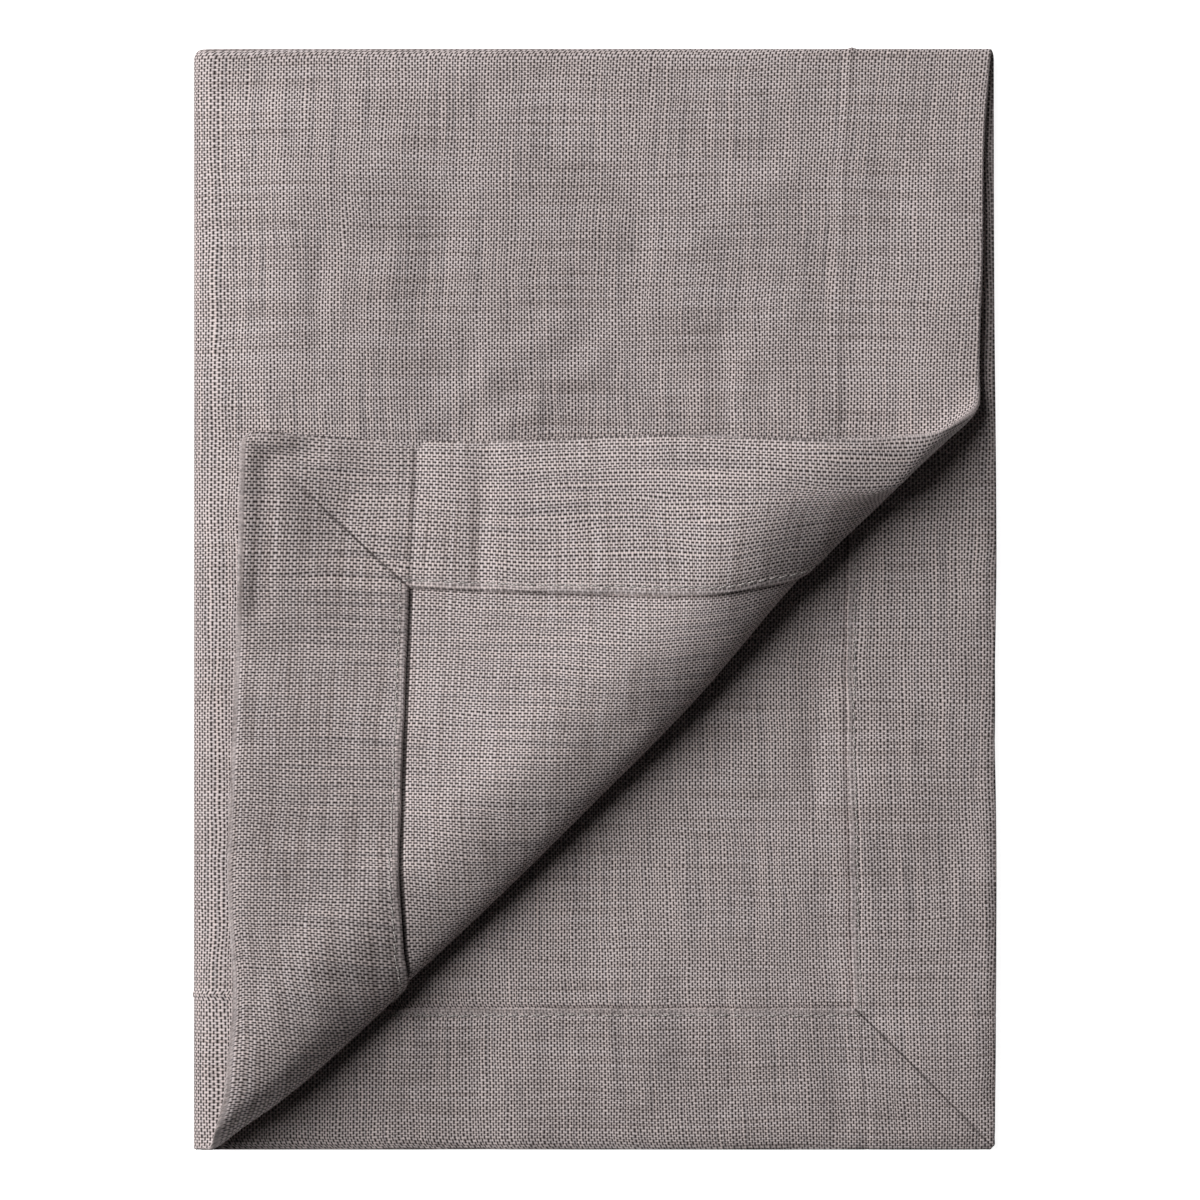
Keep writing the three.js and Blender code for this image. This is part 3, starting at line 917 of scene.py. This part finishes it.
def finishThread():
    finish = Finish("SewingThread")
    place = finish.node("UVMap", {"uv_map": "cloth"}, {})
    along = finish.node("SeparateXYZ", {}, {0: place}, 0)
    turn = finish.node("SeparateXYZ", {}, {0: place}, 1)
    slanted = along * thread["twist"][0] + turn * thread["twist"][1]
    twist = (slanted.math("SINE") * 0.5 + 0.5) ** thread["sharpness"]
    relief = {"Strength": thread["bumpStrength"], "Distance": thread["bump"], "Height": twist}
    finish.close(
        {
            "Base Color": finish.mix(twist, thread["dark"], thread["pale"]),
            "Roughness": thread["roughness"],
            "Specular IOR Level": thread["gloss"],
            "Normal": finish.node("Bump", {}, relief),
        }
    )
    return finish.material


# Floor, light and camera, in metres and degrees
studio = {
    "floorSize": 8,
    "floorDrop": 0.0002,
    "floorColour": (0.88, 0.88, 0.88, 1),
    "floorRoughness": 0.9,
    "floorGloss": 0.1,
    "floorGlow": 0.94,  # seen by the camera alone
    "keyAzimuth": 148,
    "keyElevation": 48,
    "keyDistance": 1.3,
    "keySize": 1.3,
    "keyPower": 22.9,
    "skyFill": 0.02,  # light of the sky on the cloth, and as the camera sees it
    "skySeen": 0.9,
    "cameraHeight": 1.5,
    "cameraPlace": (0.0012, 0.0002),
    "frameWidth": 0.26268,  # what the picture's width covers on the floor
    "sensor": 36,
}


def makeFloor():
    size = studio["floorSize"] / 2
    corners = [(-size, -size), (size, -size), (size, size), (-size, size)]
    data = bpy.data.meshes.new("Floor")
    data.from_pydata([(x, y, -studio["floorDrop"]) for x, y in corners], [], [(0, 1, 2, 3)])
    floor = bpy.data.objects.new("Floor", data)
    bpy.context.scene.collection.objects.link(floor)
    finish = Finish("PaleFloor")
    seenDirectly = finish.node("LightPath", {}, {}, "Is Camera Ray")
    finish.close(
        {
            "Base Color": studio["floorColour"],
            "Roughness": studio["floorRoughness"],
            "Specular IOR Level": studio["floorGloss"],
            "Emission Color": (1, 1, 1, 1),
            "Emission Strength": seenDirectly * studio["floorGlow"],
        }
    )
    floor.data.materials.append(finish.material)
    return floor


def makeKeyLight():
    # one large soft light from the upper left
    azimuth, elevation = math.radians(studio["keyAzimuth"]), math.radians(studio["keyElevation"])
    level = math.cos(elevation)
    toKey = Vector((math.cos(azimuth) * level, math.sin(azimuth) * level, math.sin(elevation)))
    light = bpy.data.lights.new("KeyLight", "AREA")
    light.shape = "DISK"
    light.size = studio["keySize"]
    light.energy = studio["keyPower"]
    key = bpy.data.objects.new("KeyLight", light)
    key.location = toKey * studio["keyDistance"]
    key.rotation_euler = (-toKey).to_track_quat("-Z", "Y").to_euler()
    bpy.context.scene.collection.objects.link(key)


def makeSky():
    # a faint white sky, which the camera sees as a bright one
    world = bpy.data.worlds.new("Studio")
    world.use_nodes = True
    nodes, links = world.node_tree.nodes, world.node_tree.links
    nodes.clear()
    fill, seen = nodes.new("ShaderNodeBackground"), nodes.new("ShaderNodeBackground")
    fill.inputs["Strength"].default_value = studio["skyFill"]
    seen.inputs["Strength"].default_value = studio["skySeen"]
    for background in (fill, seen):
        background.inputs["Color"].default_value = (1, 1, 1, 1)
    mixed, out = nodes.new("ShaderNodeMixShader"), nodes.new("ShaderNodeOutputWorld")
    links.new(nodes.new("ShaderNodeLightPath").outputs["Is Camera Ray"], mixed.inputs[0])
    links.new(fill.outputs[0], mixed.inputs[1])
    links.new(seen.outputs[0], mixed.inputs[2])
    links.new(mixed.outputs[0], out.inputs["Surface"])
    bpy.context.scene.world = world


def makeCamera():
    # straight above, as far as a product photograph is taken from
    data = bpy.data.cameras.new("Camera")
    data.sensor_width = studio["sensor"]
    data.lens = studio["sensor"] * studio["cameraHeight"] / studio["frameWidth"]
    camera = bpy.data.objects.new("Camera", data)
    camera.location = (*studio["cameraPlace"], studio["cameraHeight"])
    bpy.context.scene.collection.objects.link(camera)
    bpy.context.scene.camera = camera


makeCamera()
floor = makeFloor()
makeKeyLight()
makeSky()
bpy.context.scene.view_settings.view_transform = "Standard"
print("camera, floor and light made")

placemat = makeCloth()
placemat.data.materials.append(finishLinen())
print("cloth made:", len(placemat.data.polygons), "faces")

stitches = makeStitches()
stitches.data.materials.append(finishThread())
print("stitches made:", len(stitches.data.polygons), "faces")

for piece in (placemat, stitches):
    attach(piece, "root")
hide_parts("placemat")
